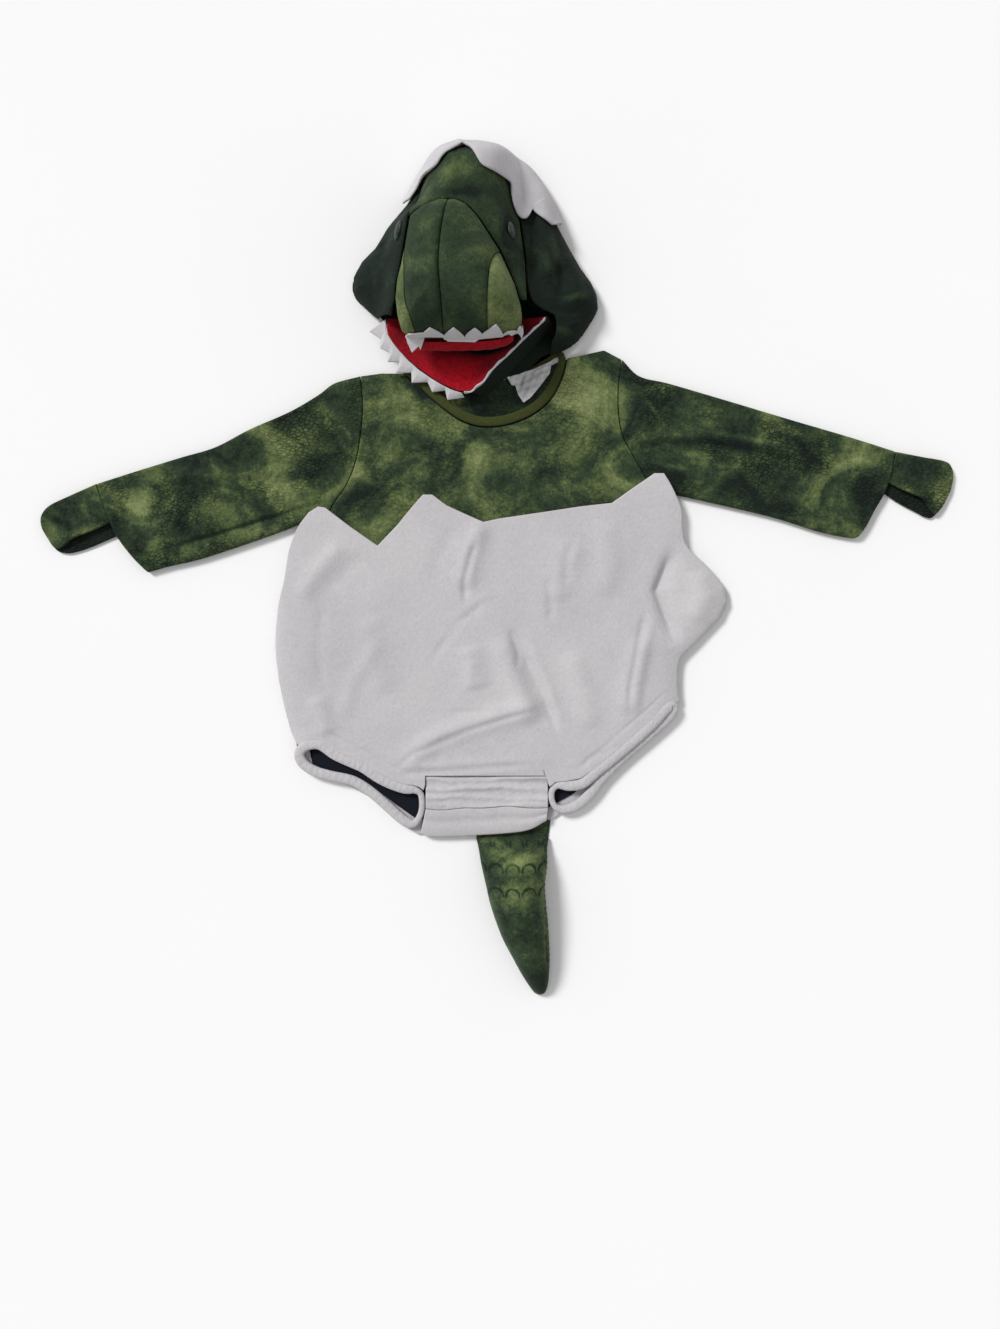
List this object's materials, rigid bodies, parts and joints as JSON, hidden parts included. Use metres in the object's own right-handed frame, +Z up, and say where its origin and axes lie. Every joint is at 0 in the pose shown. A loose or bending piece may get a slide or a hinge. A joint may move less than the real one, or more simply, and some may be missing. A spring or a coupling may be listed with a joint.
{
  "type": "t-rex costume",
  "caption": "Baby's hatching t-rex costume laid flat: green velour top, fleece egg-shell romper, stuffed tail and a hood with a toothed open mouth.",
  "frame": {"origin": "middle of the bounding box, on the surface that the costume lies on", "axes": "+X to the right as seen from above, along the spread sleeves; +Y towards the top of the hood; +Z up off the surface"},
  "size_m": [0.7734, 0.716, 0.092],
  "materials": {
    "velour": "mottled green velour with small pressed scales",
    "scaled_velour": "green velour with large pressed scales",
    "light_velour": "yellow-green velour with small pressed scales",
    "fleece": "short soft nap",
    "lining": "matt knit",
    "rib": "matt rib knit",
    "satin": "satin",
    "red": "short nap",
    "felt": "matt felt",
    "eye": "glossy"
  },
  "bodies": {
    "root": {"front_yoke": "velour", "back_yoke": "velour", "sleeve_left": "velour", "sleeve_right": "velour", "hand_cover_left": "velour", "hand_cover_right": "velour", "neck_binding": "rib", "neck_label": "satin", "front_shell": "fleece", "back_shell": "fleece", "seat_lining": "lining", "crotch_band": "fleece", "crotch_tab": "fleece", "leg_binding_left": "fleece", "leg_binding_right": "fleece", "tail": "scaled_velour", "hood_back": "velour", "hood_left": "velour", "hood_right": "velour", "hood_crown": "velour", "shell_cap": "fleece", "eye_left": "eye", "eye_right": "eye", "snout_top_left": "velour", "snout_top_right": "velour", "snout_side_left": "light_velour", "snout_side_right": "light_velour", "palate": "red", "upper_teeth": "felt", "upper_teeth_corner_left": "felt", "upper_teeth_corner_right": "felt", "jaw_outer": "velour", "jaw_lining": "red", "lower_teeth": "felt", "lower_teeth_right": "felt"}
  },
  "joints": []
}
